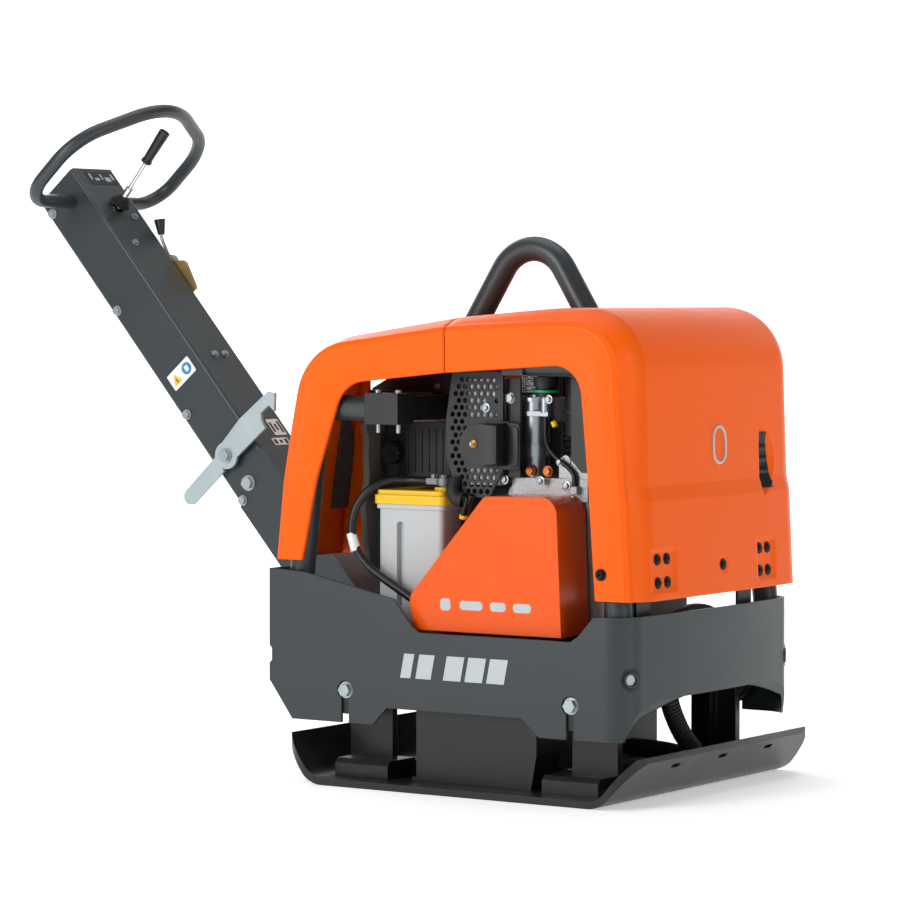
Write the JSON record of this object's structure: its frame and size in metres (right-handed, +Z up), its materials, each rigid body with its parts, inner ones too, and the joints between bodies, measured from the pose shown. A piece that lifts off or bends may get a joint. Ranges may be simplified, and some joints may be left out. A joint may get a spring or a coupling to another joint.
{
  "type": "plate compactor",
  "caption": "Reversible plate compactor: turned-up sole plate, rubber-mounted chassis, open-sided tilting hood, lifting eye and folding drawbar with loop handle.",
  "frame": {"origin": "on the ground, under the middle of the sole plate", "axes": "+X forward (the hood's front), away from the drawbar's handle; +Y to the machine's left; +Z up"},
  "size_m": [1.4054, 0.6, 1.149],
  "materials": {
    "frame_grey": "satin",
    "orange_shell": "satin",
    "orange_paint": "gloss",
    "plate_black": "satin",
    "black_paint": "satin",
    "housing_iron": "satin",
    "rubber_black": "matte",
    "zinc": "satin",
    "zinc_yellow": "satin",
    "steel": "satin",
    "chrome": "polished",
    "aluminium_cast": "matte",
    "copper": "satin",
    "tank_black": "matte",
    "battery_grey": "matte",
    "battery_yellow": "matte",
    "lead": "matte",
    "cable_black": "matte",
    "foam": "matte",
    "knob_black": "gloss",
    "screw_black": "satin"
  },
  "bodies": {
    "base": {"base_plate": "plate_black", "mount_posts": "plate_black", "rubber_buffers": "rubber_black", "exciter_housing": "housing_iron", "exciter_covers": "plate_black", "exciter_bearings": "steel", "pulley_guard": "plate_black", "drive_belt": "rubber_black", "corrugated_hose": "rubber_black", "base_bolts": "zinc"},
    "exciter_rear": {"exciter_shaft_rear": "steel", "exciter_pulley": "steel"},
    "exciter_front": {"exciter_shaft_front": "steel"},
    "chassis": {"guard": "frame_grey", "chassis_bed": "black_paint", "buffer_discs": "black_paint", "chassis_bolts": "zinc", "frame_tubes": "frame_grey", "frame_beams": "black_paint", "lifting_eye": "frame_grey", "pivot_pin": "zinc", "hinge_brackets": "black_paint", "crankcase": "aluminium_cast", "cylinder_barrel": "aluminium_cast", "cylinder_head": "aluminium_cast", "fan_shroud": "black_paint", "muffler": "steel", "muffler_guard": "black_paint", "exhaust_deflector": "black_paint", "air_filter": "tank_black", "injection_pump": "zinc", "fuel_hose": "cable_black", "banjo_bolts": "copper", "starter_motor": "black_paint", "belt_cover": "orange_paint", "fuel_tank": "tank_black", "battery_case": "battery_grey", "battery_lid": "battery_yellow", "battery_terminals": "lead", "battery_cable": "cable_black", "cable_bundle": "cable_black", "foam_panel": "foam", "hood_rear": "orange_shell"},
    "engine_crank": {"crankshaft": "steel", "clutch_pulley": "steel"},
    "hood_front": {"hood_front": "orange_shell", "hood_screws": "screw_black", "hood_grip": "knob_black", "hinge_leaves": "black_paint"},
    "drawbar": {"drawbar": "frame_grey", "drawbar_foot": "frame_grey", "handlebar": "frame_grey", "drawbar_bolts": "zinc", "throttle_bracket": "zinc_yellow"},
    "latch": {"transport_latch": "zinc"},
    "throttle": {"throttle_lever": "zinc", "throttle_knob": "knob_black"},
    "joystick": {"joystick_rod": "chrome", "joystick_grip": "knob_black", "joystick_boot": "rubber_black"}
  },
  "joints": [
    {"name": "chassis_bounce", "type": "slide", "parent": "base", "child": "chassis", "axis": [0, 0, 1], "range_m": [-0.006, 0.006], "stiffness_N_per_m": 400000, "springref_m": 0.0046, "deforming": ["rubber_buffers", "drive_belt", "corrugated_hose"]},
    {"name": "crank_spin", "type": "hinge", "parent": "chassis", "child": "engine_crank", "pos_m": [0.096, 0, 0.392], "axis": [0, 1, 0], "continuous": true},
    {"name": "exciter_rear_spin", "type": "hinge", "parent": "base", "child": "exciter_rear", "pos_m": [-0.05, 0, 0.072], "axis": [0, 1, 0], "continuous": true},
    {"name": "exciter_front_spin", "type": "hinge", "parent": "base", "child": "exciter_front", "pos_m": [0.036, 0, 0.072], "axis": [0, 1, 0], "continuous": true},
    {"name": "hood_tilt", "type": "hinge", "parent": "chassis", "child": "hood_front", "pos_m": [0.312, 0, 0.345], "axis": [0, 1, 0], "range_deg": [0, 60]},
    {"name": "drawbar_tilt", "type": "hinge", "parent": "chassis", "child": "drawbar", "pos_m": [-0.318, 0, 0.18], "axis": [0, 1, 0], "range_deg": [-24, 30]},
    {"name": "latch_swing", "type": "hinge", "parent": "drawbar", "child": "latch", "pos_m": [-0.62684, -0.0695, 0.52774], "axis": [0, 1, 0], "range_deg": [-25, 9]},
    {"name": "throttle_swing", "type": "hinge", "parent": "drawbar", "child": "throttle", "pos_m": [-0.85672, 0.067, 0.86927], "axis": [0, 1, 0], "range_deg": [-7, 24]},
    {"name": "joystick_tilt", "type": "hinge", "parent": "drawbar", "child": "joystick", "pos_m": [-0.92564, 0, 0.96691], "axis": [0, 1, 0], "range_deg": [-10, 10]}
  ],
  "couplings": [
    {"joint": "exciter_rear_spin", "follows": "crank_spin", "ratio": 1.25},
    {"joint": "exciter_front_spin", "follows": "crank_spin", "ratio": -1.25}
  ]
}
